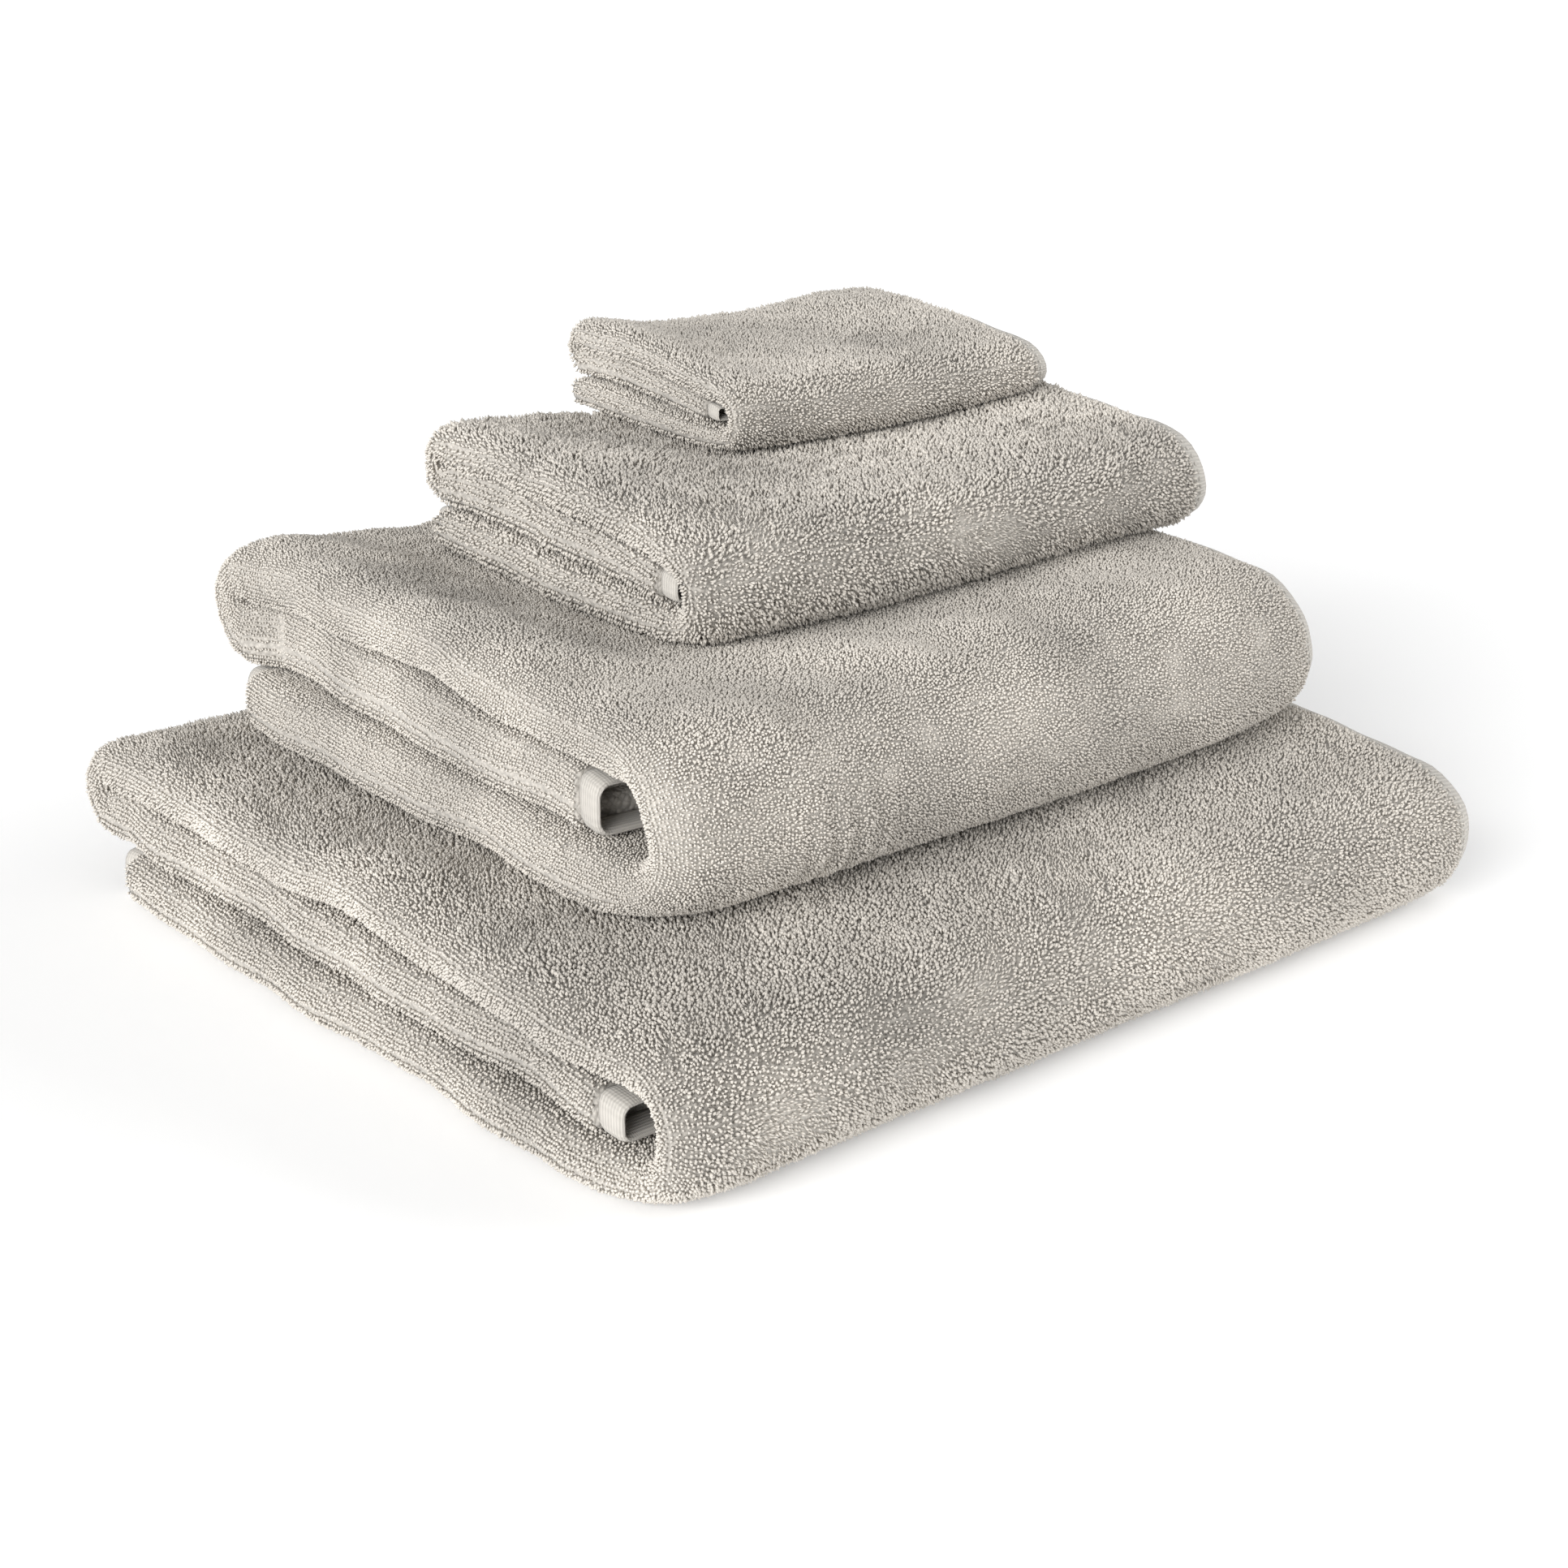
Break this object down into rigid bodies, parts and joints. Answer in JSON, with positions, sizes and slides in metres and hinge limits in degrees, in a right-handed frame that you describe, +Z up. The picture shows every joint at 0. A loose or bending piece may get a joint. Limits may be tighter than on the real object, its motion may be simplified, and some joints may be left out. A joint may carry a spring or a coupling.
{
  "type": "bath towel set",
  "caption": "Stack of folded terry towels from a large bath sheet up to a small face cloth, each folded in three round a soft spine, with flat woven hems.",
  "frame": {"origin": "on the floor under the middle of the stack's bounding box, which is the bath sheet's", "axes": "+Z up; +X along the towels' spines, from the folded lips to the side hems; -Y is the way the spines face"},
  "size_m": [0.46, 0.454, 0.2299],
  "materials": {
    "bath_sheet_terry": "looped cotton pile, matt",
    "bath_sheet_hem": "flat woven cotton, matt",
    "bath_towel_terry": "looped cotton pile, matt",
    "bath_towel_hem": "flat woven cotton, matt",
    "hand_towel_terry": "looped cotton pile, matt",
    "hand_towel_hem": "flat woven cotton, matt",
    "face_cloth_terry": "looped cotton pile, matt",
    "face_cloth_hem": "flat woven cotton, matt"
  },
  "bodies": {
    "bath_sheet": {"bath_sheet_terry": "bath_sheet_terry", "bath_sheet_end_hem_outer": "bath_sheet_hem", "bath_sheet_end_hem_inner": "bath_sheet_hem", "bath_sheet_side_hem_outer": "bath_sheet_hem", "bath_sheet_side_hem_inner": "bath_sheet_hem"},
    "bath_towel": {"bath_towel_terry": "bath_towel_terry", "bath_towel_end_hem_outer": "bath_towel_hem", "bath_towel_end_hem_inner": "bath_towel_hem", "bath_towel_side_hem_outer": "bath_towel_hem", "bath_towel_side_hem_inner": "bath_towel_hem"},
    "hand_towel": {"hand_towel_terry": "hand_towel_terry", "hand_towel_end_hem_outer": "hand_towel_hem", "hand_towel_end_hem_inner": "hand_towel_hem", "hand_towel_side_hem_outer": "hand_towel_hem", "hand_towel_side_hem_inner": "hand_towel_hem"},
    "face_cloth": {"face_cloth_terry": "face_cloth_terry", "face_cloth_end_hem_outer": "face_cloth_hem", "face_cloth_end_hem_inner": "face_cloth_hem", "face_cloth_side_hem_outer": "face_cloth_hem", "face_cloth_side_hem_inner": "face_cloth_hem"}
  },
  "joints": [
    {"name": "bath_towel_lift", "type": "slide", "parent": "bath_sheet", "child": "bath_towel", "axis": [0, 0, 1], "range_m": [0, 0.12]},
    {"name": "hand_towel_lift", "type": "slide", "parent": "bath_towel", "child": "hand_towel", "axis": [0, 0, 1], "range_m": [0, 0.1]},
    {"name": "face_cloth_lift", "type": "slide", "parent": "hand_towel", "child": "face_cloth", "axis": [0, 0, 1], "range_m": [0, 0.1]}
  ]
}
